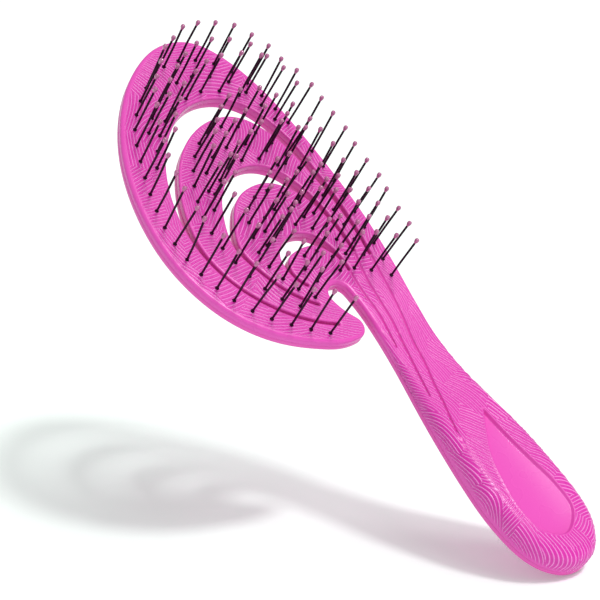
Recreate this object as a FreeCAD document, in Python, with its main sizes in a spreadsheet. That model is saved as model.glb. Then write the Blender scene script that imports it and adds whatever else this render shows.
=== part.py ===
import FreeCAD, Part
import math
import os
from FreeCAD import Placement, Rotation, Vector

# Detangling brush: a slim handle that runs into an open head of nested flexing bands,
# moulded in two halves, with rows of straight nylon pins that end in small resin tips.
# The brush lies on its back: +Z is the way the pins point, +Y runs from the handle to the
# head, and the origin is under the middle of the whole brush, in the plane of its back.

os.makedirs("parts", exist_ok=True)
doc = FreeCAD.newDocument("DetanglingBrush")

# Driving dimensions, in millimetres
sizes = doc.addObject("Spreadsheet::Sheet", "Sizes")
driving = [
    ("overall_length", 235.0, "butt of the handle to the far end of the head"),
    ("head_length", 130.5, "free tip of the bands to the far end of the head"),
    ("head_width", 84.0, "widest place of the head"),
    ("neck_width", 21.0, "handle where it leaves the head"),
    ("grip_width", 33.0, "widest place of the handle"),
    ("plate_thickness", 5.0, "both halves together over the head"),
    ("seam_height", 2.4, "back cover, from the back to the seam"),
    ("grip_thickness", 11.0, "handle at its thickest"),
    ("butt_thickness", 9.5, "handle at its butt, before it is rounded"),
    ("face_edge_radius", 1.3, "rounded rim of the face"),
    ("grip_edge_radius", 4.6, "rounded upper edge of the grip"),
    ("back_edge_bevel", 0.9, "bevelled rim of the back"),
    ("vent_edge_bevel", 0.6, "bevelled edge of the vents on the face"),
    ("mouth_width", 8.2, "gap between the free tip and the handle"),
    ("outer_vent_width", 8.4, "crescent vent between the first and second band"),
    ("middle_vent_width", 7.7, "crescent vent between the second and third band"),
    ("inner_vent_width", 5.7, "crescent vent between the third and fourth band"),
    ("slit_width", 1.2, "vents where they narrow to slits"),
    ("groove_width", 1.4, "grooves that carry the vents on along the handle"),
    ("groove_end_width", 0.5, "the same grooves where they run out"),
    ("groove_depth", 0.8, "depth of those grooves"),
    ("panel_depth", 0.4, "smooth field sunk in the grip"),
    ("pin_diameter", 0.6, "nylon pin"),
    ("pin_clearance", 0.04, "around each pin in its hole"),
    ("pin_reach", 19.6, "pin above the face, up to its tip"),
    ("tip_diameter", 1.5, "resin tip at its widest"),
    ("tip_length", 2.1, "resin tip along the pin"),
    ("overrun", 3.0, "how far cutting shapes run past what they cut"),
]
for row, (alias, value, meaning) in enumerate(driving, start=1):
    sizes.set("A%d" % row, meaning)
    sizes.set("B%d" % row, str(value))
    sizes.setAlias("B%d" % row, alias)
doc.recompute()


def size(alias):
    """A driving dimension, as a plain number of millimetres."""
    return float(sizes.get(alias))


def bind(obj, **expressions):
    """Bind properties of an object to the sheet."""
    for name, expression in expressions.items():
        obj.setExpression(name.replace("__", "."), expression)


handle_length = size("overall_length") - size("head_length")
base_line = size("overall_length") / 2 - size("head_length")
face_height = size("plate_thickness")
seam = size("seam_height")


# An arc that bows less than this share of its length is drawn straight
straight_share = 0.0001


def place(x_share, y_share, height=0.0):
    """Point from shares: x of the head's width, y of the head's length above the free tip
    and of the handle's length below it."""
    run = size("head_length") if y_share >= 0 else handle_length
    return Vector(x_share * size("head_width"), base_line + y_share * run, height)


def arc_from(start, direction, end):
    """Arc that leaves start along direction and reaches end, and its direction there."""
    chord = end - start
    along = Vector(direction).normalize()
    aside = along.cross(chord)
    if aside.Length < chord.Length * straight_share:
        return Part.LineSegment(start, end), along
    normal = aside.cross(along).normalize()
    radius = chord.dot(chord) / (2 * chord.dot(normal))
    centre = start + normal * radius
    middle = (start + end) / 2 - centre
    if chord.dot(along) < 0:
        middle = -middle
    middle = centre + middle.normalize() * radius
    arriving = aside.normalize().cross((end - centre).normalize())
    return Part.Arc(start, middle, end), arriving


def arc_pair(start, leaving, end, arriving):
    """Two tangent arcs from one point to another, with a direction at each."""
    chord = end - start
    across = chord.dot(leaving + arriving)
    spread = 2 * (1 - leaving.dot(arriving))
    square = chord.dot(chord)
    reach = square / (across + math.sqrt(across * across + spread * square))
    joint = (start + end + (leaving - arriving) * reach) / 2
    return [arc_from(start, leaving, joint)[0], arc_from(end, -arriving, joint)[0]]


def directions_along(points):
    """Direction of a smooth curve through the points, at each of them."""
    guide = Part.BSplineCurve()
    guide.interpolate(points)
    return [guide.tangent(guide.parameter(point))[0] for point in points]


def arcs_through(points, start=None, end=None):
    """Smooth line of tangent arcs through the points, with its end directions if given."""
    directions = directions_along(points)
    if start is not None:
        directions[0] = start
    if end is not None:
        directions[-1] = end
    line = []
    for index in range(len(points) - 1):
        line += arc_pair(
            points[index], directions[index], points[index + 1], directions[index + 1])
    return line


def flat_face(curves, label, height=0.0):
    """Closed outline of curves as a flat face, kept in the document."""
    wire = Part.Wire(Part.sortEdges([curve.toShape() for curve in curves])[0])
    face = Part.Face(wire)
    if face.normalAt(0, 0).z < 0:
        face.reverse()
    face.translate(Vector(0, 0, height))
    feature = doc.addObject("Part::Feature", label)
    feature.Shape = face
    return feature


# Plan of the body. The handle is a run of stations, each with its place along the handle,
# its middle as a share of the head's width and its width between neck and grip.
handle_station_shares = [
    (-0.086, 0.187, 0.017),
    (-0.354, 0.123, 0.383),
    (-0.507, 0.102, 0.717),
    (-0.775, 0.080, 1.000),
    (-0.890, 0.080, 0.660),
]
butt_shares = (0.086, -1.0)
head_edge_shares = [
    (0.421, 0.199), (0.493, 0.575), (0.484, 0.789), (0.443, 0.892), (0.360, 0.972),
    (0.214, 1.000), (0.055, 0.973), (-0.260, 0.812), (-0.457, 0.571), (-0.498, 0.400),
    (-0.383, 0.153), (-0.250, 0.067),
]
nose_share = -0.010
nose_end_shares = (0.040, 0.054)
mouth_shares = (0.056, 0.130)


def handle_side(side):
    """Edge of the handle on one side, from the neck to the butt."""
    edge = []
    for along, middle, swell in handle_station_shares:
        width = size("neck_width") + (size("grip_width") - size("neck_width")) * swell
        edge.append(place(middle, along) + Vector(side * width / 2, 0, 0))
    return edge


def body_outline():
    """Outline of the whole brush: right side and head, free tip, mouth, left side."""
    along_x = Vector(1, 0, 0)
    butt = place(*butt_shares)
    nose = place(nose_share, 0)
    nose_end = place(*nose_end_shares)
    head = [place(*shares) for shares in head_edge_shares]
    right = arcs_through([butt] + handle_side(1)[::-1] + head + [nose], along_x, along_x)
    round_nose, leaving = arc_from(nose, along_x, nose_end)
    half_mouth = Vector(size("mouth_width") / 2, 0, 0)
    mouth = place(*mouth_shares)
    upwards = Vector(0, 1, 0)
    inner = arc_pair(nose_end, leaving, mouth - half_mouth, upwards)
    top = mouth + Vector(0, size("mouth_width") / 2, 0)
    bend = Part.Arc(mouth - half_mouth, top, mouth + half_mouth)
    left = arcs_through([mouth + half_mouth] + handle_side(-1) + [butt], -upwards, along_x)
    return right + [round_nose] + inner + [bend] + left


def ribbon(path, widths):
    """Outline of a strip along a path of points, with a width at each and round ends."""
    directions = directions_along(path)
    left, right = [], []
    for point, direction, width in zip(path, directions, widths):
        across = Vector(-direction.y, direction.x, 0) * (width / 2)
        left.append(point + across)
        right.append(point - across)
    behind, ahead = directions[0], directions[-1]
    cap = Part.Arc(left[-1], path[-1] + ahead * (widths[-1] / 2), right[-1])
    foot = Part.Arc(right[0], path[0] - behind * (widths[0] / 2), left[0])
    sides = arcs_through(left, behind, ahead) + arcs_through(right, behind, ahead)
    return sides + [cap, foot]


# Vents: the middle line of each crescent and how far it opens there, from the slit beside
# the free tip, round the head, to the slit at the neck.
outer_vent_shares = [
    (-0.060, 0.061, 0.00), (-0.217, 0.148, 0.00), (-0.353, 0.395, 0.03), (-0.303, 0.527, 0.22),
    (-0.036, 0.730, 0.74), (0.155, 0.765, 1.00), (0.268, 0.743, 0.86), (0.385, 0.598, 0.38),
    (0.392, 0.498, 0.24), (0.377, 0.352, 0.08), (0.324, 0.188, 0.00),
]
middle_vent_shares = [
    (-0.070, 0.133, 0.00), (-0.150, 0.207, 0.00), (-0.192, 0.295, 0.00), (-0.197, 0.375, 0.12),
    (-0.155, 0.432, 0.28), (-0.024, 0.519, 0.70), (0.087, 0.538, 1.00), (0.168, 0.525, 0.94),
    (0.266, 0.433, 0.32), (0.284, 0.291, 0.03), (0.267, 0.218, 0.00),
]
inner_vent_shares = [
    (-0.048, 0.193, 0.00), (-0.064, 0.261, 0.10), (-0.037, 0.292, 0.45), (0.021, 0.310, 0.90),
    (0.079, 0.311, 1.00), (0.135, 0.294, 0.72), (0.170, 0.257, 0.30), (0.178, 0.177, 0.00),
]

# Grooves: each goes on from the neck end of its vent and runs out along the handle.
outer_groove_shares = [
    (0.324, 0.188), (0.269, 0.070), (0.233, 0.004), (0.180, -0.096), (0.139, -0.186),
    (0.057, -0.325), (-0.043, -0.502),
]
middle_groove_shares = [
    (0.267, 0.218), (0.211, 0.120), (0.167, -0.007), (0.129, -0.092), (0.031, -0.287),
]
inner_groove_shares = [
    (0.178, 0.177), (0.150, 0.093), (0.142, 0.038), (0.117, -0.027), (0.090, -0.090),
]


def vent_outline(shares, wide):
    """Outline of a crescent vent of the given widest opening."""
    path = [place(x, y) for x, y, opening in shares]
    slit = size("slit_width")
    return ribbon(path, [slit + (wide - slit) * opening for x, y, opening in shares])


def groove_outline(shares):
    """Outline of a groove that starts as wide as the slit and thins to its end."""
    path = [place(x, y) for x, y in shares]
    last = len(path) - 1
    start, end = size("groove_width"), size("groove_end_width")
    return ribbon(path, [start + (end - start) * i / last for i in range(last + 1)])


# Smooth field of the grip: a lopsided teardrop with its point towards the neck
panel_right_shares = [
    (0.174, -0.419), (0.168, -0.526), (0.176, -0.641), (0.188, -0.746), (0.169, -0.847),
    (0.066, -0.897),
]
panel_left_shares = [
    (0.066, -0.897), (-0.027, -0.847), (-0.044, -0.766), (-0.019, -0.660),
    (0.031, -0.560), (0.102, -0.486), (0.174, -0.419),
]


def panel_outline():
    """Outline of the smooth field, round at the butt and pointed at the neck."""
    right = [place(*shares) for shares in panel_right_shares]
    left = [place(*shares) for shares in panel_left_shares]
    across = Vector(-1, 0, 0)
    return arcs_through(right, end=across) + arcs_through(left, start=across)


# Side view of the face: level over the head, then a long swell along the handle
swell_start_share = -0.004
crest_share = -0.655


def face_profile(lowered, label):
    """Everything above the face, as one block across the brush, lowered by some depth."""
    half = size("head_width") / 2 + size("overrun")
    ends = size("overall_length") / 2 + size("overrun")
    ceiling = size("grip_thickness") + size("overrun")
    level = face_height - lowered
    crest = size("grip_thickness") - lowered
    start = place(0, swell_start_share).y
    top = place(0, crest_share).y
    back = Vector(0, -1, 0)
    crest_point = Vector(-half, top, crest)
    rise = arc_pair(Vector(-half, start, level), back, crest_point, back)
    butt_drop = size("grip_thickness") - size("butt_thickness")
    butt = Vector(-half, -ends, crest - butt_drop)
    fall = arc_from(crest_point, back, butt)[0]
    corner = Vector(-half, -ends, ceiling)
    far_corner = Vector(-half, ends, ceiling)
    edges = [
        Part.LineSegment(Vector(-half, ends, level), Vector(-half, start, level)),
        *rise,
        fall,
        Part.LineSegment(butt, corner),
        Part.LineSegment(corner, far_corner),
        Part.LineSegment(far_corner, Vector(-half, ends, level)),
    ]
    wire = Part.Wire(Part.sortEdges([edge.toShape() for edge in edges])[0])
    face = Part.Face(wire)
    feature = doc.addObject("Part::Feature", label + "Section")
    feature.Shape = face
    block = doc.addObject("Part::Extrusion", label)
    block.Base = feature
    block.DirMode = "Custom"
    block.Dir = Vector(1, 0, 0)
    block.Solid = True
    bind(block, LengthFwd="Sizes.head_width + 2 * Sizes.overrun")
    return block


def upright(base, label, length):
    """Straight extrusion of a flat outline along the pins."""
    block = doc.addObject("Part::Extrusion", label)
    block.Base = base
    block.DirMode = "Custom"
    block.Dir = Vector(0, 0, 1)
    block.Solid = True
    bind(block, LengthFwd=length)
    return block


def cut(base, tool, label):
    """What is left of base after tool is taken out of it."""
    result = doc.addObject("Part::Cut", label)
    result.Base = base
    result.Tool = tool
    return result


def fuse(shapes, label):
    """Several objects joined in one."""
    result = doc.addObject("Part::MultiFuse", label)
    result.Shapes = shapes
    return result


through = "Sizes.grip_thickness + 2 * Sizes.overrun"
outline = body_outline()
vents = [
    (outer_vent_shares, "outer_vent_width", "OuterVent"),
    (middle_vent_shares, "middle_vent_width", "MiddleVent"),
    (inner_vent_shares, "inner_vent_width", "InnerVent"),
]
vent_tools = []
for shares, width, label in vents:
    face = flat_face(vent_outline(shares, size(width)), label + "Outline", -size("overrun"))
    vent_tools.append(upright(face, label, through))
all_vents = fuse(vent_tools, "Vents")

grooves = [
    (outer_groove_shares, "OuterGroove"),
    (middle_groove_shares, "MiddleGroove"),
    (inner_groove_shares, "InnerGroove"),
]
groove_tools = []
for shares, label in grooves:
    face = flat_face(groove_outline(shares), label + "Outline", seam)
    groove_tools.append(upright(face, label, through))
all_grooves = fuse(groove_tools, "Grooves")
panel_face = flat_face(panel_outline(), "PanelOutline", seam)
panel_tool = upright(panel_face, "Panel", through)

# Back cover: the rear half of the handle and bands, flat behind with a rounded rim
back_blank = upright(flat_face(outline, "BackOutline"), "BackBlank", "Sizes.seam_height")
back_open = cut(back_blank, all_vents, "BackOpen")

# Front frame: the face half, swelling into the grip
front_face = flat_face(outline, "FrontOutline", seam)
front_blank = upright(front_face, "FrontBlank", "Sizes.grip_thickness - Sizes.seam_height")
above_face = face_profile(0.0, "AboveFace")
front_shaped = cut(front_blank, above_face, "FrontShaped")
front_open = cut(front_shaped, all_vents, "FrontOpen")
doc.recompute()

touch = 0.001 * size("slit_width")


def is_vent_edge(edge):
    """True for an edge on the wall of a vent."""
    middle = edge.valueAt((edge.FirstParameter + edge.LastParameter) / 2)
    probe = Part.Vertex(middle)
    return all_vents.Shape.distToShape(probe)[0] < touch


def edge_radius(point):
    """Radius of the rounded rim of the face at a place along the brush."""
    start = place(0, swell_start_share).y
    top = place(0, crest_share).y
    share = min(max((start - point.y) / (start - top), 0.0), 1.0)
    thin, full = size("face_edge_radius"), size("grip_edge_radius")
    return thin + (full - thin) * share


def rounded_face(base, label):
    """Round the rim of the face, fuller along the grip. Edges straight across the brush
    are only where the swell's arcs meet."""
    rounds = []
    for index, edge in enumerate(base.Shape.Edges, start=1):
        box = edge.BoundBox
        if box.ZMin < seam + touch or box.ZMax - box.ZMin > box.DiagonalLength - touch:
            continue
        if box.YLength < touch or is_vent_edge(edge):
            continue
        first = edge.valueAt(edge.FirstParameter)
        last = edge.valueAt(edge.LastParameter)
        if edge.Orientation == "Reversed":
            first, last = last, first
        rounds.append((index, edge_radius(first), edge_radius(last)))
    result = doc.addObject("Part::Fillet", label)
    result.Base = base
    result.Edges = rounds
    return result


def bevelled_vents(base, label):
    """Break the upper edges of the vents."""
    bevel = size("vent_edge_bevel")
    bevels = []
    for index, edge in enumerate(base.Shape.Edges, start=1):
        if edge.BoundBox.ZMin > face_height - touch and is_vent_edge(edge):
            bevels.append((index, bevel, bevel))
    result = doc.addObject("Part::Chamfer", label)
    result.Base = base
    result.Edges = bevels
    return result


def bevelled_back(base, label):
    """Bevel the rim of the back, outside the vents."""
    bevel = size("back_edge_bevel")
    bevels = []
    for index, edge in enumerate(base.Shape.Edges, start=1):
        if edge.BoundBox.ZMax < touch and not is_vent_edge(edge):
            bevels.append((index, bevel, bevel))
    result = doc.addObject("Part::Chamfer", label)
    result.Base = base
    result.Edges = bevels
    return result


back_cover = bevelled_back(back_open, "back_cover")
front_round = rounded_face(front_open, "FrontRounded")
doc.recompute()
front_bevelled = bevelled_vents(front_round, "FrontBevelled")

# Sunk detail of the face: a shallow copy of each outline that follows the swell
above_panel = face_profile(size("panel_depth"), "AbovePanelFloor")
panel_floor = doc.addObject("Part::Common", "PanelRecess")
panel_floor.Base = panel_tool
panel_floor.Tool = above_panel
above_groove = face_profile(size("groove_depth"), "AboveGrooveFloor")
groove_floor = doc.addObject("Part::Common", "GrooveRecess")
groove_floor.Base = all_grooves
groove_floor.Tool = above_groove
sunk = fuse([panel_floor, groove_floor], "SunkDetail")

# Pin rows: the path of each row over its band and how many pins stand on it
pin_row_shares = [
    ("outer_band_rim", 40, [
        (0.331, 0.105), (0.370, 0.190), (0.404, 0.283), (0.433, 0.378), (0.454, 0.480),
        (0.466, 0.585), (0.465, 0.685), (0.446, 0.780), (0.402, 0.858), (0.313, 0.912),
        (0.190, 0.936), (0.069, 0.920), (-0.070, 0.870), (-0.190, 0.806),
        (-0.293, 0.703), (-0.374, 0.594), (-0.423, 0.493), (-0.437, 0.390),
        (-0.413, 0.294), (-0.356, 0.203), (-0.251, 0.120), (-0.125, 0.049)]),
    ("outer_band_middle", 11, [
        (-0.157, 0.772), (-0.076, 0.815), (0.011, 0.850), (0.105, 0.870), (0.190, 0.876),
        (0.266, 0.865), (0.328, 0.842), (0.376, 0.806), (0.404, 0.760), (0.420, 0.708),
        (0.424, 0.655)]),
    ("outer_band_inner", 9, [
        (-0.246, 0.671), (-0.169, 0.724), (-0.052, 0.782), (0.029, 0.804), (0.121, 0.820),
        (0.221, 0.820), (0.292, 0.800), (0.361, 0.765)]),
    ("second_band_outer", 27, [
        (-0.151, 0.151), (-0.229, 0.233), (-0.257, 0.327), (-0.256, 0.424),
        (-0.207, 0.526), (-0.102, 0.625), (0.045, 0.693), (0.131, 0.704), (0.206, 0.694),
        (0.266, 0.664), (0.305, 0.622), (0.333, 0.560), (0.344, 0.482), (0.343, 0.405),
        (0.327, 0.325), (0.305, 0.232), (0.265, 0.144)]),
    ("second_band_middle", 7, [
        (-0.118, 0.549), (-0.012, 0.622), (0.076, 0.640), (0.155, 0.636), (0.220, 0.620),
        (0.270, 0.580), (0.300, 0.525)]),
    ("second_band_inner", 7, [
        (-0.162, 0.494), (-0.094, 0.538), (-0.017, 0.568), (0.061, 0.586),
        (0.150, 0.585), (0.215, 0.566), (0.262, 0.530)]),
    ("third_band_outer", 17, [
        (-0.061, 0.153), (-0.125, 0.237), (-0.133, 0.329), (-0.104, 0.375),
        (-0.065, 0.421), (-0.012, 0.459), (0.062, 0.478), (0.139, 0.473), (0.187, 0.442),
        (0.219, 0.402), (0.236, 0.354), (0.240, 0.306), (0.232, 0.258), (0.202, 0.172)]),
    ("third_band_middle", 6, [
        (-0.072, 0.340), (-0.035, 0.375), (0.011, 0.410), (0.089, 0.420), (0.149, 0.403),
        (0.180, 0.364)]),
    ("third_band_inner", 4, [
        (-0.028, 0.344), (0.038, 0.362), (0.113, 0.357), (0.173, 0.324)]),
    ("inner_band_outer", 6, [
        (0.004, 0.190), (-0.006, 0.225), (0.024, 0.261), (0.090, 0.268), (0.140, 0.245),
        (0.135, 0.185)]),
]


def row_places(count, shares):
    """Evenly spaced places along the path of a row, on the seam."""
    path = Part.BSplineCurve()
    path.interpolate([place(x, y, seam) for x, y in shares])
    return path.toShape().discretize(Number=count)


# One pin, one hole and one tip, each standing on the origin; flat-sided, as there are many
pin_sides = 5
pin_height = "Sizes.plate_thickness - Sizes.seam_height + Sizes.pin_reach"
pin_blank = doc.addObject("Part::Prism", "OnePin")
pin_blank.Polygon = pin_sides
bind(pin_blank, Circumradius="Sizes.pin_diameter / 2", Height=pin_height)
hole_blank = doc.addObject("Part::Prism", "OneHole")
hole_blank.Polygon = pin_sides
bind(hole_blank, Circumradius="Sizes.pin_diameter / 2 + Sizes.pin_clearance",
     Height="Sizes.plate_thickness")

# Girth and height of the corners of a tip: narrow on its pin, full above the middle, blunt
tip_ring_shares = [(0.42, 0.0), (1.0, 0.62), (0.40, 1.0)]


def flat_sided(rings):
    """Solid with flat faces through rings of corners, given by radius and height."""
    corners = []
    for radius, height in rings:
        corners.append([])
        for corner in range(pin_sides):
            turn = 2 * math.pi * corner / pin_sides
            corners[-1].append(Vector(radius * math.cos(turn), radius * math.sin(turn), height))
    outlines = [corners[0][::-1], corners[-1]]
    for below, above in zip(corners, corners[1:]):
        for corner in range(pin_sides):
            beside = (corner + 1) % pin_sides
            outlines.append([below[corner], below[beside], above[beside], above[corner]])
    faces = [Part.Face(Part.makePolygon(outline + outline[:1])) for outline in outlines]
    shell = Part.makeShell(faces)
    shell.sewShape()
    return Part.makeSolid(shell)


pin_top = face_height - seam + size("pin_reach")
tip_blank = doc.addObject("Part::Feature", "OneTip")
tip_blank.Shape = flat_sided([
    (size("tip_diameter") / 2 * girth, pin_top + size("tip_length") * rise)
    for girth, rise in tip_ring_shares])
doc.recompute()


def group(shape, places, label):
    """Copies of one small piece, each moved to its place, as separate solids."""
    copies = []
    for spot in places:
        copy = shape.copy()
        copy.translate(spot)
        copies.append(copy)
    feature = doc.addObject("Part::Feature", label)
    feature.Shape = Part.makeCompound(copies)
    return feature


pin_nodes, tip_nodes, hole_tools = [], [], []
for name, count, shares in pin_row_shares:
    places = row_places(count, shares)
    pin_nodes.append(group(pin_blank.Shape, places, "pins_" + name))
    tip_nodes.append(group(tip_blank.Shape, places, "tips_" + name))
    hole_tools.append(group(hole_blank.Shape, places, "Holes_" + name))
removed = doc.addObject("Part::Compound", "DetailAndPinHoles")
removed.Links = [sunk] + hole_tools
front_frame = cut(front_bevelled, removed, "front_frame")
doc.recompute()

nodes = [front_frame, back_cover] + pin_nodes + tip_nodes
for obj in doc.Objects:
    if "Invalid" in obj.State or "Error" in obj.State:
        raise RuntimeError("%s failed" % obj.Label)
for node in nodes:
    shape = node.Shape
    if shape.isNull() or not shape.isValid():
        raise RuntimeError("%s has no valid shape" % node.Label)
    if not shape.Solids:
        raise RuntimeError("%s has no solid" % node.Label)
for node in nodes:
    node.Shape.exportStep("parts/%s.step" % node.Label)
    box = node.Shape.BoundBox
    print("%-26s solids %3d volume %9.1f  x %.1f..%.1f y %.1f..%.1f z %.1f..%.1f" % (
        node.Label, len(node.Shape.Solids), node.Shape.Volume,
        box.XMin, box.XMax, box.YMin, box.YMax, box.ZMin, box.ZMax))
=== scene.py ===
import math

import bpy
import numpy as np
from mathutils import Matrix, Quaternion, Vector
from mathutils.geometry import delaunay_2d_cdt


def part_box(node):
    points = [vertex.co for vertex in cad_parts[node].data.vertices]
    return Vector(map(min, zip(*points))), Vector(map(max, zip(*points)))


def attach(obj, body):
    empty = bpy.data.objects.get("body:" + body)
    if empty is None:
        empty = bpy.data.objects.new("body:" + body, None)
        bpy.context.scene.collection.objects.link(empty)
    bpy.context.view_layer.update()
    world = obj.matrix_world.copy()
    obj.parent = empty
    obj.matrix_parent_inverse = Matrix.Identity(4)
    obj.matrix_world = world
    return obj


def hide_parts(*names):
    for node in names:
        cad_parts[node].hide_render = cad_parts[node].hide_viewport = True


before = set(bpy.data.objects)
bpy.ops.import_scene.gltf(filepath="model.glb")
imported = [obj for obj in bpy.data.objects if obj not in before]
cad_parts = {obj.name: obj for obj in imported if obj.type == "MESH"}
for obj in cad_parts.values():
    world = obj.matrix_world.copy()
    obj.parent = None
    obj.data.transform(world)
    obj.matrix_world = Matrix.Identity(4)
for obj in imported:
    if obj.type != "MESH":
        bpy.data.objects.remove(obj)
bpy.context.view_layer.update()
MM = 0.001

# Studio: a white floor and soft lamps in a white room. The brush stands on its butt and leans
# back, so in its own frame the floor is aslant and drops away behind the head. Two lamps throw
# one soft shadow, a third is mirrored in the gloss and a weak one lifts the shaded walls.
butt_rest = Vector((7.2, -117.5, 0.0)) * MM
floor_normal = Vector((0.102, 0.655, 0.748))
floor_gap = 0.4 * MM
floor_reach = 8.0
floor_colour = (0.90, 0.975, 0.94, 1.0)
floor_roughness = 0.9
floor_lift = 0.15
floor_lift_colour = (0.84, 1.0, 0.91, 1.0)
surround_colour = (1.0, 1.0, 1.0, 1.0)
surround_level = 0.46
surround_seen = 1.0
key_from = Vector((0.191, 0.199, 0.961))
sheen_from = Vector((0.50, 0.20, 0.84))
fill_from = Vector((-0.75, -0.25, 0.61))
# Name of each lamp, the way to it, its strength and its width in degrees
lamps = [("key_lamp", key_from, 1.20, 8), ("broad_lamp", key_from, 0.65, 34),
         ("sheen_lamp", sheen_from, 0.38, 16), ("fill_lamp", fill_from, 0.32, 60)]
camera_place = Vector((-476.4, -174.0, 541.0)) * MM
camera_aim = Vector((-11.1, 8.7, 5.0)) * MM
camera_roll = math.radians(33.0)
camera_near = 10 * MM
camera_far = 20.0
frame_pixels = 600
focal_pixels = 2200
sensor_width = 36.0


def new_object(name, data):
    """Put a mesh, lamp or camera in the scene under a name."""
    made = bpy.data.objects.new(name, data)
    bpy.context.scene.collection.objects.link(made)
    return made


def turned_to(direction):
    """Rotation that points an object's own -Z along a direction."""
    return direction.to_track_quat("-Z", "Y")


camera = new_object("camera", bpy.data.cameras.new("camera"))
camera.data.sensor_width = sensor_width
camera.data.lens = focal_pixels / frame_pixels * sensor_width
camera.data.clip_start = camera_near
camera.data.clip_end = camera_far
camera.location = camera_place
camera.rotation_mode = "QUATERNION"
roll_turn = Quaternion((0, 0, 1), camera_roll)
camera.rotation_quaternion = turned_to(camera_aim - camera_place) @ roll_turn
bpy.context.scene.camera = camera

for name, source, strength, width in lamps:
    lamp = new_object(name, bpy.data.lights.new(name, "SUN"))
    lamp.data.energy = strength
    lamp.data.angle = math.radians(width)
    lamp.rotation_mode = "QUATERNION"
    lamp.rotation_quaternion = turned_to(-source)

world = bpy.data.worlds.new("surround")
world.use_nodes = True
bpy.context.scene.world = world
surround = world.node_tree.nodes["Background"]
rays = world.node_tree.nodes.new("ShaderNodeLightPath")
seen = world.node_tree.nodes.new("ShaderNodeMix")
seen.data_type = "FLOAT"
seen.inputs["A"].default_value = surround_level
seen.inputs["B"].default_value = surround_seen
world.node_tree.links.new(rays.outputs["Is Camera Ray"], seen.inputs["Factor"])
world.node_tree.links.new(seen.outputs["Result"], surround.inputs["Strength"])
surround.inputs["Color"].default_value = surround_colour
bpy.context.scene.view_settings.view_transform = "Standard"


def new_material(name, colour, roughness):
    """Material with a plain Principled shader; returns it with its tree and shader."""
    material = bpy.data.materials.new(name)
    material.use_nodes = True
    shader = material.node_tree.nodes["Principled BSDF"]
    shader.inputs["Base Color"].default_value = colour
    shader.inputs["Roughness"].default_value = roughness
    return material, material.node_tree, shader


def mesh_piece(name, points, face_sets, material):
    """Piece from points in metres and arrays of faces, where the faces of one array have
    equally many corners."""
    mesh = bpy.data.meshes.new(name)
    corners = np.concatenate([np.full(len(faces), faces.shape[1]) for faces in face_sets])
    indices = np.concatenate([faces.ravel() for faces in face_sets])
    mesh.vertices.add(len(points))
    mesh.vertices.foreach_set("co", np.ascontiguousarray(points, np.float32).ravel())
    mesh.loops.add(len(indices))
    mesh.loops.foreach_set("vertex_index", indices.astype(np.int32))
    mesh.polygons.add(len(corners))
    mesh.polygons.foreach_set("loop_start", (np.cumsum(corners) - corners).astype(np.int32))
    mesh.polygons.foreach_set("use_smooth", np.full(len(corners), True))
    mesh.update(calc_edges=True)
    mesh.validate()
    mesh.materials.append(material)
    return new_object(name, mesh)


# Seen from below the floor is clear, so that it hides nothing of the back
floor_material, floor_tree, floor_shader = new_material(
    "floor_paper", floor_colour, floor_roughness)
floor_shader.inputs["Specular IOR Level"].default_value = 0.0
floor_shader.inputs["Emission Color"].default_value = floor_lift_colour
floor_shader.inputs["Emission Strength"].default_value = floor_lift
floor_facing = floor_tree.nodes.new("ShaderNodeNewGeometry")
floor_unseen = floor_tree.nodes.new("ShaderNodeBsdfTransparent")
floor_mix = floor_tree.nodes.new("ShaderNodeMixShader")
floor_tree.links.new(floor_facing.outputs["Backfacing"], floor_mix.inputs["Fac"])
floor_tree.links.new(floor_shader.outputs["BSDF"], floor_mix.inputs[1])
floor_tree.links.new(floor_unseen.outputs["BSDF"], floor_mix.inputs[2])
floor_tree.links.new(
    floor_mix.outputs["Shader"], floor_tree.nodes["Material Output"].inputs["Surface"])
floor_across = floor_normal.orthogonal().normalized() * floor_reach
floor_along = floor_normal.cross(floor_across).normalized() * floor_reach
floor_middle = butt_rest - floor_normal * floor_gap
floor_corners = [floor_middle + floor_across * a + floor_along * b
                 for a, b in ((-1, -1), (1, -1), (1, 1), (-1, 1))]
floor = mesh_piece("floor", np.array(floor_corners), [np.array([[0, 1, 2, 3]])], floor_material)

# Outlines of the shell, which its two halves share: closed rows of points in millimetres,
# read from the flat meeting face of the rear half, each point with the direction out of the
# plastic there. The first row is the outside of the brush, and the others are the vents.
seam_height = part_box("front_frame")[0].z / MM
outline_step = 0.50
same_place = 0.004
level_slack = 0.01


def node_points(node):
    """Points of a node's mesh in millimetres."""
    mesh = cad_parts[node].data
    points = np.empty(len(mesh.vertices) * 3, np.float32)
    mesh.vertices.foreach_get("co", points)
    return points.reshape(-1, 3) / MM


def flat_edges(node, height):
    """Points and edges of a node's flat face at a height: the edges that only one triangle
    there has, with points in the same place taken as one."""
    points = node_points(node)
    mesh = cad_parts[node].data
    mesh.calc_loop_triangles()
    triangles = np.empty(len(mesh.loop_triangles) * 3, np.int32)
    mesh.loop_triangles.foreach_get("vertices", triangles)
    triangles = triangles.reshape(-1, 3)
    level = np.abs(points[:, 2] - height) < level_slack
    triangles = triangles[level[triangles].all(axis=1)]
    keys = np.round(points[:, :2] / same_place).astype(np.int64)
    unique, index, back = np.unique(keys, axis=0, return_index=True, return_inverse=True)
    triangles = back.reshape(-1)[triangles]
    edges = np.concatenate([triangles[:, [0, 1]], triangles[:, [1, 2]], triangles[:, [2, 0]]])
    edges = edges[edges[:, 0] != edges[:, 1]]
    size = len(unique)
    code = edges[:, 0] * size + edges[:, 1]
    lone = ~np.isin(edges[:, 1] * size + edges[:, 0], code)
    return points[index, :2], edges[lone]


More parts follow.
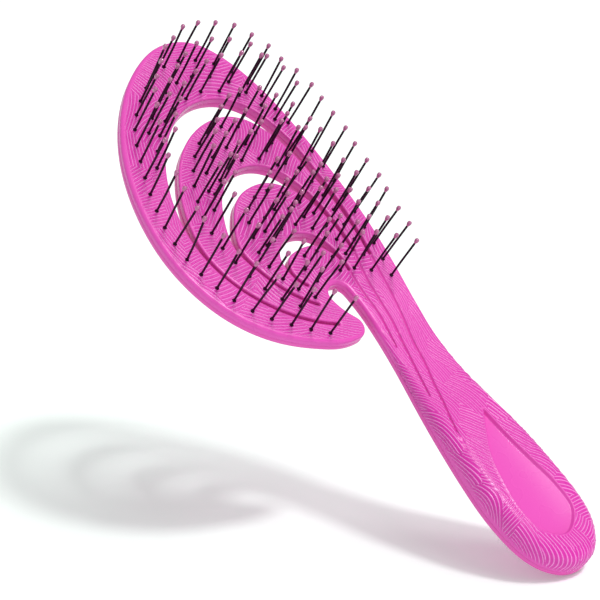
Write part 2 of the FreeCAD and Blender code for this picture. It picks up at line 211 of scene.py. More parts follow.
def closed_rows(points, edges):
    """Follow edges from end to end into closed rows of points, the one that reaches furthest
    along the brush first."""
    onward = dict(map(tuple, edges.tolist()))
    rows = []
    while onward:
        start, here = next(iter(onward.items()))
        del onward[start]
        row = [start]
        while here != start:
            row.append(here)
            here = onward.pop(here)
        rows.append(points[row])
    return sorted(rows, key=lambda row: -np.ptp(row[:, 1]))


def cubic(t, start, leave, arrive, end):
    """Hermite curve at shares t of its way, from a start left at one slope to an end reached
    at another: start * (2t^3 - 3t^2 + 1) + leave * (t^3 - 2t^2 + t) + end * (3t^2 - 2t^3)
    + arrive * (t^3 - t^2)."""
    return ((2 * t ** 3 - 3 * t ** 2 + 1) * start + (t ** 3 - 2 * t ** 2 + t) * leave
            + (3 * t ** 2 - 2 * t ** 3) * end + (t ** 3 - t ** 2) * arrive)


def refined(row, step):
    """Closed row with more points between distant ones, on a smooth cubic through them. The
    slope at a point is the mean of the directions before and after it, each weighed by the
    length of the other stretch."""
    ahead = np.roll(row, -1, axis=0)
    behind = np.roll(row, 1, axis=0)
    length = np.linalg.norm(ahead - row, axis=1)
    before = np.roll(length, 1)
    slope = ((ahead - row) / length[:, None] * before[:, None]
             + (row - behind) / before[:, None] * length[:, None]) / (length + before)[:, None]
    count = np.ceil(length / step).astype(int)
    owner = np.repeat(np.arange(len(row)), count)
    share = (np.arange(len(owner)) - np.repeat(np.cumsum(count) - count, count)) / count[owner]
    span = length[owner][:, None]
    following = (owner + 1) % len(row)
    return cubic(share[:, None], row[owner], span * slope[owner],
                 span * slope[following], row[following])


def outward(row):
    """Unit direction to the right of travel at each point of a closed row."""
    travel = np.roll(row, -1, axis=0) - np.roll(row, 1, axis=0)
    travel /= np.linalg.norm(travel, axis=1)[:, None]
    return np.stack([travel[:, 1], -travel[:, 0]], axis=1)


outlines = [refined(row, outline_step)
            for row in closed_rows(*flat_edges("back_cover", seam_height))]
outline_out = [outward(row) for row in outlines]
outline_vent = [number > 0 for number in range(len(outlines))]
outline_starts = np.cumsum([0] + [len(row) for row in outlines])
outline_edges = [(int(start + number), int(start + (number + 1) % len(row)))
                 for start, row in zip(outline_starts, outlines) for number in range(len(row))]
all_edge = np.concatenate(outlines)
all_out = np.concatenate(outline_out)
is_vent = np.repeat(outline_vent, [len(row) for row in outlines])


def nearest(points, others):
    """Index of the nearest of others to each point, and how far it is."""
    found = np.empty(len(points), np.int64)
    far = np.empty(len(points))
    batch = 1500
    square = (others ** 2).sum(axis=1)
    for first in range(0, len(points), batch):
        some = points[first:first + batch]
        gap = square[None] - 2 * some @ others.T
        pick = gap.argmin(axis=1)
        found[first:first + batch] = pick
        far[first:first + batch] = np.linalg.norm(some - others[pick], axis=1)
    return found, far


# Face half of the shell: one injection moulding in glossy pink plastic, welded on in front.
# It is level over the bands, swells into the grip and is rounded at its rim, with three
# grooves, a smooth sunk panel on the grip, and fine hatching that was cut into the mould.
shell_colour = (0.74, 0.075, 0.455, 1.0)
# Hatching colours: painted shade in the valleys and a painted highlight on the ridges
valley_shade_colour = (0.66, 0.026, 0.375, 1.0)
ridge_highlight_colour = (0.98, 0.27, 0.74, 1.0)
shell_roughness = 0.27
shell_least_roughness = 0.22
shell_ripple = 0.02 * MM
shell_specular = 0.38
overall_length = 235.0
head_length = 130.5
head_width = 84.0
face_height = 5.0
crest_height = 11.0
butt_height = 9.5
swell_start_share = -0.004
crest_share = -0.655
overrun = 3.0
thin_round = 1.3
full_round = 4.6
vent_round = 0.6
seam_round = 0.15
seam_middle = 0.3 * seam_round
round_turns = np.radians(np.arange(0, 91, 9))
vent_turns = np.radians([0, 22.5, 45, 67.5, 90])
wall_rows = 5


def place(x_share, y_share):
    """Point from shares: x of the head's width, y of the head's length above its free tip
    and of the handle's length below it."""
    run = head_length if y_share >= 0 else overall_length - head_length
    return np.array([x_share * head_width, overall_length / 2 - head_length + y_share * run])


swell_start = place(0, swell_start_share)[1]
crest = place(0, crest_share)[1]


def face_level(y):
    """Height of the face along the brush: level, then two equal arcs up to the crest of
    the grip, then one shallow arc down to the butt."""
    run, climb = swell_start - crest, crest_height - face_height
    radius = (run ** 2 + climb ** 2) / (4 * climb)
    along = np.clip(swell_start - y, 0, run)
    first = radius - np.sqrt(radius ** 2 - np.minimum(along, run / 2) ** 2)
    last = radius - np.sqrt(radius ** 2 - np.minimum(run - along, run / 2) ** 2)
    rise = np.where(along < run / 2, first, climb - last)
    fall_run, fall = overall_length / 2 + overrun + crest, crest_height - butt_height
    fall_radius = (fall_run ** 2 + fall ** 2) / (2 * fall)
    beyond = np.clip(crest - y, 0, fall_run)
    return face_height + rise - (fall_radius - np.sqrt(fall_radius ** 2 - beyond ** 2))


def rim_round(y):
    """Radius of the rounded rim along the brush: an even growth from the bands' to the
    crest's."""
    share = np.clip((swell_start - y) / (swell_start - crest), 0, 1)
    return thin_round + (full_round - thin_round) * share


# Wall and rounded rim of the face half, carried along each outline. The seam's small round
# comes first: how far inside the outline it is and how far from the meeting face.
seam_steps = [(seam_round, 0.0), (seam_middle, seam_middle), (0.0, seam_round)]
wall_foot = seam_height + seam_round
wall_shares = np.arange(1, wall_rows + 1) / (wall_rows + 1)


def rim_rings(row, out, vent):
    """Rings of one outline, from the seam up its wall and round its rim. At a turn t of the
    rim a ring is radius * (1 - cos t) inside the outline and radius * (1 - sin t) below the
    face. Returns, by ring and point, the place, the depth over the skin inwards from the
    top of the wall, the place on the skin when it is unrolled outwards, and the turn."""
    same = np.ones(len(row))
    radius = vent_round * same if vent else rim_round(row[:, 1])
    level = face_level(row[:, 1])
    wall_top = level - radius
    steps = [(inside * same, (seam_height + above) * same, 0 * same)
             for inside, above in seam_steps]
    steps += [(0 * same, wall_foot + (wall_top - wall_foot) * share, 0 * same)
              for share in ([] if vent else wall_shares)]
    steps += [(radius * (1 - math.cos(turn)), level - radius * (1 - math.sin(turn)), turn * same)
              for turn in (vent_turns if vent else round_turns)]
    inside, height, turn = np.array(steps).transpose(1, 0, 2)
    below = np.maximum(wall_top - height, 0)
    places = np.concatenate([row - out * inside[..., None], height[..., None]], axis=2)
    skin = row + out * (radius * (math.pi / 2 - turn - 1) + below)[..., None]
    return places, radius * turn - below, skin, turn


def joined(outline_rings):
    """Points of all the outlines' rings in one array, the triangles between neighbouring
    rings, and the vertex numbers of each outline's rings."""
    points = np.concatenate([rings.reshape(-1, 3) for rings in outline_rings])
    faces, numbers, first = [], [], 0
    for rings in outline_rings:
        own = first + np.arange(rings.shape[0] * rings.shape[1]).reshape(rings.shape[:2])
        for here, there in zip(own, own[1:]):
            ahead, beyond = np.roll(here, -1), np.roll(there, -1)
            faces.append(np.stack([here, ahead, beyond], axis=1))
            faces.append(np.stack([here, beyond, there], axis=1))
        numbers.append(own)
        first += own.size
    return points, np.concatenate(faces), numbers


rims = [rim_rings(*outline) for outline in zip(outlines, outline_out, outline_vent)]
ring_places, ring_depths, ring_skins, ring_turns = zip(*rims)
rim_points, rim_faces, rim_numbers = joined(ring_places)
rim_seam = np.concatenate([numbers[0] for numbers in rim_numbers])
rim_top = np.concatenate([numbers[-1] for numbers in rim_numbers])

# Grooves and panel of the face, by the grooves' middle lines and the panel's outline. The
# face's triangles follow rows of points beside them, at shares of a groove's half width and
# at gaps outside the panel's edge. A fine raised line runs round the panel.
grid_step = 0.46
groove_depth = 0.8
groove_half_widths = (0.75, 0.30)
groove_row_shares = (-1.15, -0.8, -0.4, 0, 0.4, 0.8, 1.15)
groove_shares = [
    [(0.326, 0.192), (0.301, 0.143), (0.269, 0.070), (0.233, 0.004), (0.180, -0.096),
     (0.139, -0.186), (0.096, -0.256), (0.057, -0.325), (0.014, -0.392), (-0.043, -0.502)],
    [(0.268, 0.222), (0.239, 0.175), (0.211, 0.120), (0.190, 0.057), (0.167, -0.007),
     (0.129, -0.092), (0.095, -0.163), (0.031, -0.287)],
    [(0.178, 0.181), (0.161, 0.136), (0.150, 0.093), (0.142, 0.038), (0.117, -0.027),
     (0.090, -0.090)],
]
panel_depth = 0.4
panel_shares = [
    (0.174, -0.419), (0.168, -0.526), (0.176, -0.641), (0.188, -0.746), (0.169, -0.847),
    (0.066, -0.897), (-0.027, -0.847), (-0.044, -0.766), (-0.019, -0.660),
    (0.031, -0.560), (0.102, -0.486), (0.174, -0.419),
]
panel_edge_width = 0.5
panel_row_gaps = (0.75, 0.5, 0.25, 0.0, -0.25, -0.5, -0.75)
panel_axis_shares = [(0.150, -0.500), (0.065, -0.850)]
panel_hollow = 0.75
panel_half_width = 11.0
panel_rim_height = 0.20
panel_rim_gap = 0.25
panel_rim_spread = 0.28


def curve_through(points, step):
    """Open row of points a step apart on a smooth cubic through a few given ones, with the
    slopes that a closed row has."""
    points = np.array(points)
    ends = np.concatenate([[2 * points[0] - points[1]], points, [2 * points[-1] - points[-2]]])
    rows = []
    for a, b, c, d in zip(ends, ends[1:], ends[2:], ends[3:]):
        count = max(int(np.linalg.norm(c - b) / step), 1)
        ab, bc, cd = (np.linalg.norm(q - p) for p, q in ((a, b), (b, c), (c, d)))
        leave = ((c - b) / bc * ab + (b - a) / ab * bc) / (ab + bc) * bc
        arrive = ((d - c) / cd * bc + (c - b) / bc * cd) / (bc + cd) * bc
        rows.append(cubic((np.arange(count) / count)[:, None], b, leave, arrive, c))
    rows.append(points[-1:])
    return np.concatenate(rows)


def beside(line, half):
    """Rows beside an open line at shares of its half width."""
    travel = np.gradient(line, axis=0)
    travel /= np.linalg.norm(travel, axis=1)[:, None]
    side = np.stack([-travel[:, 1], travel[:, 0]], axis=1) * half[:, None]
    return [line + side * share for share in groove_row_shares]


groove_lines = [curve_through([place(*shares) for shares in line_shares], grid_step)
                for line_shares in groove_shares]
groove_halves = [np.linspace(*groove_half_widths, len(line)) for line in groove_lines]
groove_points = np.concatenate(groove_lines)
groove_half = np.concatenate(groove_halves)
# Turned back, the panel's row runs anticlockwise, so that outward() points away from it
panel_row = curve_through([place(*shares) for shares in panel_shares], grid_step)[:-1][::-1]
panel_out = outward(panel_row)

# Face between the rims: an even grid of points, finer on the grip, with the rows beside the
# grooves and the panel's edge, all joined into triangles
grip_grid_step = 0.36
parting_gap = 0.5 * grid_step
grid_rim_gap = 0.45 * grid_step
row_rim_gap = 0.3 * grid_step
grid_row_gap = 0.55 * grid_step
merge_gap = 1e-7


def even_grid(step):
    """Points of an even triangular grid over the whole brush."""
    low, high = all_edge.min(axis=0), all_edge.max(axis=0)
    x = np.arange(low[0], high[0], step)
    y = np.arange(low[1], high[1], step * math.sqrt(3) / 2)
    grid = np.stack(np.meshgrid(x, y), axis=2)
    grid[1::2, :, 0] += step / 2
    return grid.reshape(-1, 2)


def in_plastic(points, border):
    """Whether each point lies on the plastic's side of the nearest of the border's points,
    one for each point of the outlines. Also gives that point's index and how far it is."""
    at, far = nearest(points, border)
    return ((points - border[at]) * all_out[at]).sum(axis=1) < 0, at, far


def rim_reach(at):
    """How far the rounded rim reaches inwards from points of the outlines."""
    return np.where(is_vent[at], vent_round, rim_round(all_edge[at][:, 1]))


def within_rim(points, gap):
    """Those of the points that lie in the plastic, more than a gap inside its rounded rim."""
    inside, at, far = in_plastic(points, all_edge)
    return points[inside & (far > rim_reach(at) + gap)]


def filled(border, upward, inner=np.empty((0, 2))):
    """Flat points and triangles that fill the plastic inside a border, one point of it for
    each point of the outlines, through the inner points: Delaunay triangles that keep the
    border's edges, all facing up or all down."""
    flat = [Vector(point) for point in np.concatenate([border, inner]).tolist()]
    found = delaunay_2d_cdt(flat, outline_edges, [], 0, merge_gap, False)
    flat = np.array([tuple(point) for point in found[0]])
    faces = np.array(found[2], np.int64)
    faces = faces[in_plastic(flat[faces].mean(axis=1), border)[0]]
    a, b, c = (flat[faces[:, corner]] for corner in range(3))
    side = np.cross(b - a, c - a)
    wrong = side < 0 if upward else side > 0
    faces[wrong] = faces[wrong][:, ::-1]
    return flat, faces


grip_grid, band_grid = even_grid(grip_grid_step), even_grid(grid_step)
parting = place(0, 0)[1]
grid = within_rim(np.concatenate([grip_grid[grip_grid[:, 1] < parting],
                                  band_grid[band_grid[:, 1] > parting + parting_gap]]),
                  grid_rim_gap)
rows = [row for line, half in zip(groove_lines, groove_halves) for row in beside(line, half)]
rows += [panel_row + panel_out * gap for gap in panel_row_gaps]
row_points = within_rim(np.concatenate(rows), row_rim_gap)
grid = grid[nearest(grid, row_points)[1] > grid_row_gap]
flat, fill = filled(rim_points[rim_top, :2], True, np.concatenate([row_points, grid]))
inner = flat[len(rim_top):]
inner_numbers = len(rim_points) + np.arange(len(inner))
under = filled(rim_points[rim_seam, :2], False)[1]
shell_points = np.concatenate([rim_points, np.column_stack([inner, face_level(inner[:, 1])])])
shell_faces = np.concatenate([rim_faces, np.concatenate([rim_top, inner_numbers])[fill],
                              rim_seam[under]])
at, far = nearest(inner, all_edge)
face_depth = np.concatenate([depth.ravel() for depth in ring_depths]
                            + [far + rim_reach(at) * (math.pi / 2 - 1)])
face_skin = np.concatenate([skin.reshape(-1, 2) for skin in ring_skins] + [inner])
face_turn = np.concatenate([turn.ravel() for turn in ring_turns]
                           + [np.full(len(inner), math.pi / 2)])
face_vent = np.concatenate([np.full(depth.size, vent)
                            for depth, vent in zip(ring_depths, outline_vent)] + [is_vent[at]])

# Hatching: patches of fine ridges. A patch is what lies nearest to its middle, and its
# ridges are arcs round a far point beside it. The handle's patches are set out one by one:
# place, direction of the ridges in degrees, spacing and bend in millimetres.
hatch_depth = 0.17
full_pitch = 1.15
ridge_power = 9.0
handle_patch_shares = [
    (0.340, 0.070, 84, 0.95, 90), (0.240, 0.075, 74, 0.90, 60), (0.160, 0.020, 84, 0.90, 50),
    (0.310, -0.060, 92, 0.95, 70), (0.205, -0.060, 78, 0.90, 60), (0.125, -0.090, 92, 0.95, 40),
    (0.265, -0.200, 94, 1.00, 60), (0.150, -0.180, 72, 0.90, 50), (0.065, -0.220, 96, 1.05, 36),
    (0.255, -0.325, 112, 1.10, 36), (0.155, -0.330, 106, 1.00, 120), (0.030, -0.330, 98, 1.05, 40),
    (0.270, -0.430, 112, 1.20, 44), (0.085, -0.435, 132, 1.05, 50), (-0.030, -0.430, 102, 1.20, 24),
    (0.245, -0.540, 104, 1.15, 50), (0.010, -0.545, 108, 1.10, 40), (-0.100, -0.560, 86, 1.30, 16),
    (0.255, -0.650, 112, 1.15, 40), (-0.060, -0.660, 104, 1.15, 26), (-0.130, -0.690, 72, 1.30, 14),
    (0.265, -0.755, 136, 1.15, 34), (-0.095, -0.765, 14, 1.15, 22), (-0.085, -0.840, 96, 1.25, 14),
    (0.250, -0.860, 162, 1.10, 26), (-0.015, -0.925, 74, 1.25, 13), (0.190, -0.935, 20, 1.10, 20),
    (0.095, -0.965, 62, 1.10, 16),
]
long_share = 0.55
long_below_share = 0.09
wave_push = 1.8
wave_spans = np.array([6.0, 8.0])

# The head's patches are scattered from an even grid, clear of the neck, where the handle's
# begin. Their ridges run along or across the nearest edge, within half a radian.
hatch_random = np.random.default_rng(11)
patch_size = 14.0
patch_span_x = (-46, 47)
patch_span_y = (-2, 123)
patch_shift_share = 0.44
neck_shares = (0.235, 0.02)
neck_clearance = 10.0
turn_scatter = 0.5
bend_range = (20, 70)
pitch_range = (1.10, 1.40)
patch_x, patch_y = np.meshgrid(np.arange(*patch_span_x, patch_size),
                               np.arange(*patch_span_y, patch_size))
scattered = np.stack([patch_x.ravel(), patch_y.ravel()], axis=1)
shift = hatch_random.uniform(-patch_shift_share, patch_shift_share, scattered.shape)
scattered = scattered + shift * patch_size
scattered = scattered[np.linalg.norm(scattered - place(*neck_shares), axis=1) > neck_clearance]
edge_out = all_out[nearest(scattered, all_edge)[0]]
scattered_turn = (np.arctan2(edge_out[:, 1], edge_out[:, 0])
                  + math.pi / 2 * hatch_random.integers(0, 2, len(scattered))
                  + hatch_random.uniform(-turn_scatter, turn_scatter, len(scattered)))
scattered_bend = hatch_random.uniform(*bend_range, len(scattered))
scattered_pitch = hatch_random.uniform(*pitch_range, len(scattered))

handle_x, handle_y, handle_turn, handle_pitch, handle_bend = np.array(handle_patch_shares).T
handle_centres = [place(x, y) for x, y in zip(handle_x, handle_y)]
patch_centres = np.concatenate([handle_centres, scattered])
patch_turn = np.concatenate([np.radians(handle_turn + 90), scattered_turn])
patch_bend = np.concatenate([handle_bend, scattered_bend])
patch_pitch = np.concatenate([handle_pitch, scattered_pitch])
patch_far = patch_centres + patch_bend[:, None] * np.stack(
    [np.cos(patch_turn), np.sin(patch_turn)], axis=1)


def waved(points):
    """Points pushed about on slow waves, so that ridges and patch borders wander: each
    coordinate is moved by a sine of the other."""
    return points + wave_push * np.sin(points[:, ::-1] / wave_spans)


def patch_of(points):
    """Number of the patch each point lies in; those of the handle reach further along it."""
    found = np.empty(len(points), np.int64)
    batch = 20000
    handle = patch_centres[:, 1] < place(0, long_below_share)[1]
    for first in range(0, len(points), batch):
        apart = waved(points[first:first + batch])[:, None] - patch_centres[None]
        apart[..., 1] *= np.where(handle, long_share, 1.0)
        found[first:first + batch] = (apart ** 2).sum(axis=2).argmin(axis=1)
    return found


def ridge_count(points, patch):
    """Distance from the patch's far point, in spacings of its ridges."""
    return np.linalg.norm(waved(points) - patch_far[patch], axis=1) / patch_pitch[patch]


# Relief of the skin. The hatching keeps clear of the panel's edge, by millimetres, and of the
# grooves, by shares of their half width. It begins a little way in from the rim on the bands
# and the vents, and on the grip, past a ramp along the handle, it goes down over the wall.
panel_clearance = (0.35, 0.8)
groove_clearance = (0.8, 1.0)
grip_ramp = (5, 40)
hatch_start_bands = 2.0
hatch_start_vents = 0.9
hatch_start_grip = -2.4
hatch_fade = 0.8
sink_turns = (0.4, 1.2)
least_length = 1e-12


def smooth_step(value, low, high):
    """0 below low, 1 above high and a smooth rise between."""
    share = np.clip((value - low) / (high - low), 0, 1)
    return share * share * (3 - 2 * share)


def sunk(points):
    """How far the face lies below its plain level, for the grooves, the hollow panel and its
    rim. Also gives how far inside the panel's edge a point lies and its share of the way
    from a groove's middle to its side."""
    at, far = nearest(points, groove_points)
    share = np.clip(far / groove_half[at], 0, 1)
    groove = groove_depth * (1 - share ** 2) ** 1.5
    at, far = nearest(points, panel_row)
    inward = -((points - panel_row[at]) * panel_out[at]).sum(axis=1)
    inward = np.where(far < 2 * panel_edge_width, inward, np.sign(inward) * far)
    top, low = place(*panel_axis_shares[0]), place(*panel_axis_shares[1])
    across = points[:, 0] - np.interp(points[:, 1], [low[1], top[1]], [low[0], top[0]])
    hollow = panel_hollow * np.maximum(1 - (across / panel_half_width) ** 2, 0)
    panel = (panel_depth + hollow) * smooth_step(inward, 0, panel_edge_width)
    rim = panel_rim_height * np.exp(-((inward + panel_rim_gap) / panel_rim_spread) ** 2)
    return groove + panel - rim, inward, share


def relief(points, skin_depth, vent):
    """Share of the hatching's depth at each point, and how far the face is sunk there. The
    skin's depth is measured inwards from the top of the wall."""
    down, inward, share = sunk(points)
    clear = smooth_step(-inward, *panel_clearance) * smooth_step(share, *groove_clearance)
    grip = smooth_step(-points[:, 1], *grip_ramp)
    start = np.where(vent, hatch_start_vents,
                     hatch_start_bands * (1 - grip) + hatch_start_grip * grip)
    return clear * smooth_step(skin_depth, start, start + hatch_fade), down


def vertex_normals(points, faces):
    """Area-weighted mean of the face normals at each vertex."""
    a, b, c = (points[faces[:, corner]] for corner in range(3))
    cross = np.cross(b - a, c - a)
    total = np.zeros_like(points)
    for corner in range(3):
        for axis in range(3):
            total[:, axis] += np.bincount(faces[:, corner], cross[:, axis], len(points))
    return total / np.maximum(np.linalg.norm(total, axis=1), least_length)[:, None]


# The face is sunk first, and the hatching is carved along that form's normals, clear of the
# seam's round. The cosine's power is odd, so the carving leaves a ridge at each even count
# and cuts a narrow groove at each odd one, with level valleys between.
plain_normals = vertex_normals(shell_points, shell_faces)
share, down = relief(shell_points[:, :2], face_depth, face_vent)
share = np.where(shell_points[:, 2] > wall_foot, share, 0)
down = down * smooth_step(face_turn, *sink_turns)
shell_points = shell_points - plain_normals * down[:, None]
formed_normals = vertex_normals(shell_points, shell_faces)
patch = patch_of(face_skin)
hatch_share = share * np.minimum(patch_pitch[patch] / full_pitch, 1) ** 2
carved = 1 - np.cos(math.pi * ridge_count(face_skin, patch)) ** ridge_power
shell_points = shell_points - formed_normals * (hatch_depth * hatch_share * carved)[:, None]
corner_patch = np.repeat(patch_of(face_skin[shell_faces].mean(axis=1)), 3)
corner_count = ridge_count(face_skin[shell_faces.ravel()], corner_patch)

# Finish that all the brush's plastics share: the faint waviness of a moulded surface and
# cloudy changes of its gloss, over cells of these sizes
ripple_cell = 0.9 * MM
cloud_cell = 14 * MM
noise_detail = 2.0
cloud_roughness = 0.10


def moulded_skin():
    """Shader group of the shared finish: a roughness that rises from the least one with the
    clouds, the height of the ripples in metres, and the clouds themselves."""
    group = bpy.data.node_groups.new("moulded_skin", "ShaderNodeTree")
    for way, names in (("INPUT", ("Least Roughness", "Ripple")),
                       ("OUTPUT", ("Roughness", "Height", "Cloud"))):
        for name in names:
            group.interface.new_socket(name, in_out=way, socket_type="NodeSocketFloat")
    nodes, links = group.nodes, group.links
    given, made = nodes.new("NodeGroupInput"), nodes.new("NodeGroupOutput")
    where = nodes.new("ShaderNodeTexCoord")
    fine, broad = nodes.new("ShaderNodeTexNoise"), nodes.new("ShaderNodeTexNoise")
    for noise, cell in ((fine, ripple_cell), (broad, cloud_cell)):
        noise.inputs["Scale"].default_value = 1 / cell
        noise.inputs["Detail"].default_value = noise_detail
        links.new(where.outputs["Object"], noise.inputs["Vector"])
    gloss, ripple = nodes.new("ShaderNodeMath"), nodes.new("ShaderNodeMath")
    gloss.operation = "MULTIPLY_ADD"
    gloss.inputs[1].default_value = cloud_roughness
    links.new(broad.outputs["Fac"], gloss.inputs[0])
    links.new(given.outputs["Least Roughness"], gloss.inputs[2])
    ripple.operation = "MULTIPLY"
    links.new(fine.outputs["Fac"], ripple.inputs[0])
    links.new(given.outputs["Ripple"], ripple.inputs[1])
    links.new(gloss.outputs["Value"], made.inputs["Roughness"])
    links.new(ripple.outputs["Value"], made.inputs["Height"])
    links.new(broad.outputs["Fac"], made.inputs["Cloud"])
    return group


skin_group = moulded_skin()


def add_skin(tree, least_roughness, ripple):
    """Place the shared finish in a material and let it set the roughness; returns its node."""
    skin = tree.nodes.new("ShaderNodeGroup")
    skin.node_tree = skin_group
    skin.inputs["Least Roughness"].default_value = least_roughness
    skin.inputs["Ripple"].default_value = ripple
    tree.links.new(skin.outputs["Roughness"], tree.nodes["Principled BSDF"].inputs["Roughness"])
    return skin


def math_node(tree, operation, *values):
    """Math node fed by numbers or by other nodes' outputs; returns its output."""
    node = tree.nodes.new("ShaderNodeMath")
    node.operation = operation
    for socket, value in zip(node.inputs, values):
        if isinstance(value, (int, float)):
            socket.default_value = value
        else:
            tree.links.new(value, socket)
    return node.outputs["Value"]


def blended(tree, share, first, second):
    """Colour between two by a share; the second may be another node's output."""
    mix = tree.nodes.new("ShaderNodeMix")
    mix.data_type = "RGBA"
    tree.links.new(share, mix.inputs["Factor"])
    mix.inputs["A"].default_value = first
    if isinstance(second, tuple):
        mix.inputs["B"].default_value = second
    else:
        tree.links.new(second, mix.inputs["B"])
    return mix.outputs["Result"]


def raised(tree, height):
    """Feed a height in metres to the shader's normal."""
    bump = tree.nodes.new("ShaderNodeBump")
    bump.inputs["Distance"].default_value = 1.0
    tree.links.new(height, bump.inputs["Height"])
    tree.links.new(bump.outputs["Normal"], tree.nodes["Principled BSDF"].inputs["Normal"])


# The material draws the hatching sharper than the mesh can carve it, from the mesh's own
# attribute: the count of ridges and the share of their depth. Its colour paints a highlight,
# a pale line at every whole count, and paints shade in the darker valleys between.
shell_plastic, shell_tree, shell_shader = new_material(
    "shell_plastic", shell_colour, shell_roughness)
shell_shader.inputs["Specular IOR Level"].default_value = shell_specular
shell_skin = add_skin(shell_tree, shell_least_roughness, shell_ripple)
hatch_node = shell_tree.nodes.new("ShaderNodeAttribute")
hatch_node.attribute_name = "hatch"
hatch_parts = shell_tree.nodes.new("ShaderNodeSeparateXYZ")
shell_tree.links.new(hatch_node.outputs["Vector"], hatch_parts.inputs["Vector"])
wave = math_node(shell_tree, "COSINE",
                 math_node(shell_tree, "MULTIPLY", hatch_parts.outputs["X"], math.pi))
ridge = math_node(shell_tree, "POWER", math_node(shell_tree, "ABSOLUTE", wave), ridge_power)
rise = math_node(shell_tree, "MULTIPLY", ridge, hatch_parts.outputs["Y"])
raised(shell_tree, math_node(shell_tree, "MULTIPLY_ADD", rise, hatch_depth * MM,
                             shell_skin.outputs["Height"]))
# Painted shade in the valleys and a painted highlight on the ridges
hatch_light_and_shade = blended(shell_tree, ridge, valley_shade_colour, ridge_highlight_colour)
shell_tree.links.new(blended(shell_tree, hatch_parts.outputs["Y"], shell_colour, hatch_light_and_shade),
                     shell_shader.inputs["Base Color"])

face_piece = mesh_piece("face_shell", shell_points * MM, [shell_faces], shell_plastic)
face_piece.data.normals_split_custom_set_from_vertices(formed_normals.tolist())
hatch_data = face_piece.data.attributes.new("hatch", "FLOAT2", "CORNER")
hatch_data.data.foreach_set("vector", np.column_stack(
    [corner_count, hatch_share[shell_faces.ravel()]]).astype(np.float32).ravel())
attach(face_piece, "root")
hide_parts("front_frame")

# Rear half of the shell: a second moulding in the same plastic, welded on behind. It is
# plain and flat, with a small bevel round its outside and a smaller one round its vents.
back_bevel = 0.9
vent_bevel = 0.3
back_turns = np.radians([0, 30, 60, 90])
rear_colour = (0.76, 0.080, 0.44, 1.0)
rear_least_roughness = 0.27
rear_ripple = 0.03 * MM


def rear_rings(row, out, vent):
    """Rings of one outline, from the seam down its wall and round its bevel. At a turn t of
    the bevel a ring is bevel * (1 - cos t) inside the outline and bevel * (1 - sin t) above
    the back. Returns the places by ring and point."""
    bevel = vent_bevel if vent else back_bevel
    steps = [(inside, seam_height - below) for inside, below in seam_steps]
    steps += [(bevel * (1 - math.cos(turn)), bevel * (1 - math.sin(turn))) for turn in back_turns]
    return np.array([np.column_stack([row - out * inside, np.full(len(row), height)])
                     for inside, height in steps])


rear_points, rear_walls, rear_numbers = joined(
    [rear_rings(*outline) for outline in zip(outlines, outline_out, outline_vent)])
rear_faces = [rear_walls[:, ::-1]]
for ring, upward in ((0, True), (-1, False)):
    edge = np.concatenate([numbers[ring] for numbers in rear_numbers])
    rear_faces.append(edge[filled(rear_points[edge, :2], upward)[1]])

rear_plastic, rear_tree, rear_shader = new_material("rear_plastic", rear_colour, shell_roughness)
rear_shader.inputs["Specular IOR Level"].default_value = shell_specular
rear_skin = add_skin(rear_tree, rear_least_roughness, rear_ripple)
raised(rear_tree, rear_skin.outputs["Height"])
rear_piece = mesh_piece("rear_shell", rear_points * MM, rear_faces, rear_plastic)
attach(rear_piece, "root")
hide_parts("back_cover")

# Pins: drawn nylon rods in rows along the bands, each pressed through the face and held
# by the rear half. Each leans and bows a little its own way.
pin_radius = 0.40
pin_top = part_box("tips_outer_band_rim")[0].z / MM
pin_clear = 0.05
pin_in_tip = 0.3
pin_sides = 6
pin_lean = math.radians(1.1)
pin_bow = 0.28
pin_random = np.random.default_rng(5)
foot_width = 0.9
pin_colour = (0.014, 0.001, 0.009, 1.0)
pin_gleam = (0.036, 0.003, 0.024, 1.0)
pin_roughness = 0.4
pin_least_roughness = 0.36
pin_ripple = 0.01 * MM
pin_specular = 0.12
pin_profile = [(pin_radius, height) for height in (
    seam_height, face_height + pin_clear, (face_height + pin_top) / 2, pin_top + pin_in_tip)]


def pin_places(node):
    """Foot of each pin of a row: the middle of each group of lowest points that lie less
    than a foot's width apart."""
    points = node_points(node)
    low = points[points[:, 2] < points[:, 2].min() + level_slack, :2]
    low = np.unique(np.round(low, 3), axis=0)
    close = np.linalg.norm(low[:, None] - low[None], axis=2) < foot_width
    middles = (close[:, :, None] * low[None]).sum(axis=1) / close.sum(axis=1)[:, None]
    return np.unique(np.round(middles, 2), axis=0)


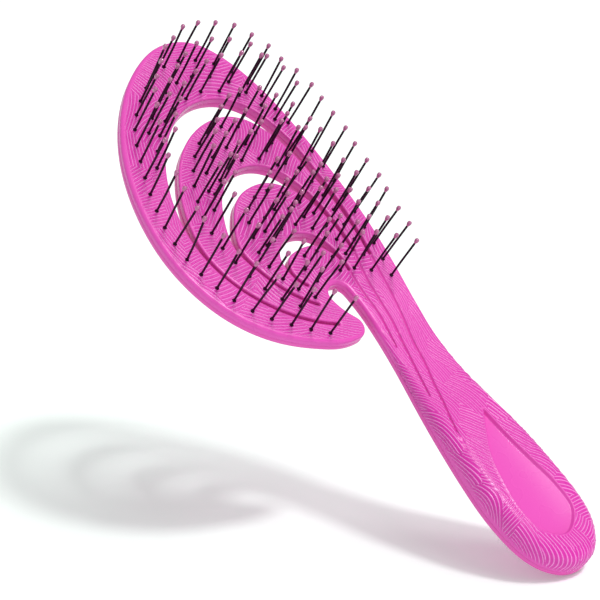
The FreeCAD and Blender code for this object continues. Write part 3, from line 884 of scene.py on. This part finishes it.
def turned_rows(feet, leans, bows, profile, sides):
    """Round bodies on every foot: rings of the profile's (radius, height) points about a
    line that leans evenly and bows with the square of its height above the face, closed by
    a point at each end. Returns their points, four-cornered and three-cornered faces."""
    angle = 2 * math.pi * np.arange(sides) / sides
    ring = np.stack([np.cos(angle), np.sin(angle)], axis=1)
    radius, height = np.array(profile).T
    levels = np.concatenate([height, height[[0, -1]]])
    rise = np.maximum(levels - face_height, 0)
    arch = (rise / (pin_top - face_height)) ** 2
    middle = (feet[:, None] + rise[None, :, None] * leans[:, None]
              + arch[None, :, None] * bows[:, None])
    rings = middle[:, :-2, None] + ring[None, None] * radius[None, :, None, None]
    heights = np.broadcast_to(height[None, :, None, None], (*rings.shape[:3], 1))
    body = np.concatenate([rings, heights], axis=3).reshape(len(feet), -1, 3)
    ends = np.concatenate(
        [middle[:, -2:], np.broadcast_to(levels[-2:][None, :, None], (len(feet), 2, 1))], axis=2)
    points = np.concatenate([body, ends], axis=1)
    each = points.shape[1]
    here = np.arange(sides)
    ahead = (here + 1) % sides
    quads = np.concatenate([
        np.stack([low + here, low + ahead, low + sides + ahead, low + sides + here], axis=1)
        for low in sides * np.arange(len(radius) - 1)])
    top = (len(radius) - 1) * sides
    caps = np.concatenate([
        np.stack([ahead, here, np.full(sides, each - 2)], axis=1),
        np.stack([top + here, top + ahead, np.full(sides, each - 1)], axis=1)])
    shift = each * np.arange(len(feet))[:, None, None]
    return points.reshape(-1, 3), [
        (quads[None] + shift).reshape(-1, 4), (caps[None] + shift).reshape(-1, 3)]


pin_material, pin_tree, pin_shader = new_material("pin_nylon", pin_colour, pin_roughness)
pin_shader.inputs["Specular IOR Level"].default_value = pin_specular
pin_skin = add_skin(pin_tree, pin_least_roughness, pin_ripple)
raised(pin_tree, pin_skin.outputs["Height"])
pin_tree.links.new(blended(pin_tree, pin_skin.outputs["Cloud"], pin_colour, pin_gleam),
                   pin_shader.inputs["Base Color"])
# Feet, leans and bows of each row's pins, which the collars and the tips follow
pin_lines = {}
for node in sorted(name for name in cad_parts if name.startswith("pins_")):
    row = node[len("pins_"):]
    feet = pin_places(node)
    leans = pin_random.normal(0, math.tan(pin_lean), feet.shape)
    bows = pin_random.normal(0, pin_bow, feet.shape)
    pin_lines[row] = (feet, leans, bows)
    points, faces = turned_rows(feet, leans, bows, pin_profile, pin_sides)
    pins = mesh_piece("nylon_" + row, points * MM, faces, pin_material)
    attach(pins, "root")
    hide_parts(node)

# Collars: a small ring of the same dark nylon round the foot of each pin, where it comes out
# of the face. All of them are one piece.
collar_radius = 0.76
collar_height = 0.26
collar_sink = 0.1
collar_side_share = 0.6
collar_top_share = 0.75
collar_profile = [(collar_radius, face_height - collar_sink),
                  (collar_radius, face_height + collar_side_share * collar_height),
                  (collar_top_share * collar_radius, face_height + collar_height)]
feet, leans, bows = (np.concatenate(values) for values in zip(*pin_lines.values()))
points, faces = turned_rows(feet, leans, bows, collar_profile, pin_sides)
collars = mesh_piece("pin_collars", points * MM, faces, pin_material)
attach(collars, "root")

# Tips: a drop of pink resin on the end of each pin, set there to be kind to the scalp. It
# is narrow where it grips the pin, drawn out a little below its middle and round above.
tip_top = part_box("tips_outer_band_rim")[1].z / MM
tip_radius = 0.86
tip_start = 0.25
tip_neck_share = 1.25
tip_drop_share = 1.5
tip_turns = np.radians([-38, -4, 32, 66])
tip_sides = 8
tip_colour = (0.35, 0.070, 0.20, 1.0)
tip_pale = (0.55, 0.17, 0.36, 1.0)
tip_roughness = 0.16
tip_least_roughness = 0.12
tip_ripple = 0.02 * MM
tip_coat = 0.5
tip_middle = tip_top - tip_radius
tip_profile = [(tip_neck_share * pin_radius, pin_top - tip_start)] + [
    (tip_radius * math.cos(turn),
     tip_middle + tip_radius * math.sin(turn) * (tip_drop_share if turn < 0 else 1))
    for turn in tip_turns]
tip_material, tip_tree, tip_shader = new_material("tip_resin", tip_colour, tip_roughness)
tip_shader.inputs["Coat Weight"].default_value = tip_coat
tip_skin = add_skin(tip_tree, tip_least_roughness, tip_ripple)
raised(tip_tree, tip_skin.outputs["Height"])
tip_tree.links.new(blended(tip_tree, tip_skin.outputs["Cloud"], tip_colour, tip_pale),
                   tip_shader.inputs["Base Color"])
for row, (feet, leans, bows) in pin_lines.items():
    points, faces = turned_rows(feet, leans, bows, tip_profile, tip_sides)
    tips = mesh_piece("resin_" + row, points * MM, faces, tip_material)
    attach(tips, "root")
    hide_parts("tips_" + row)
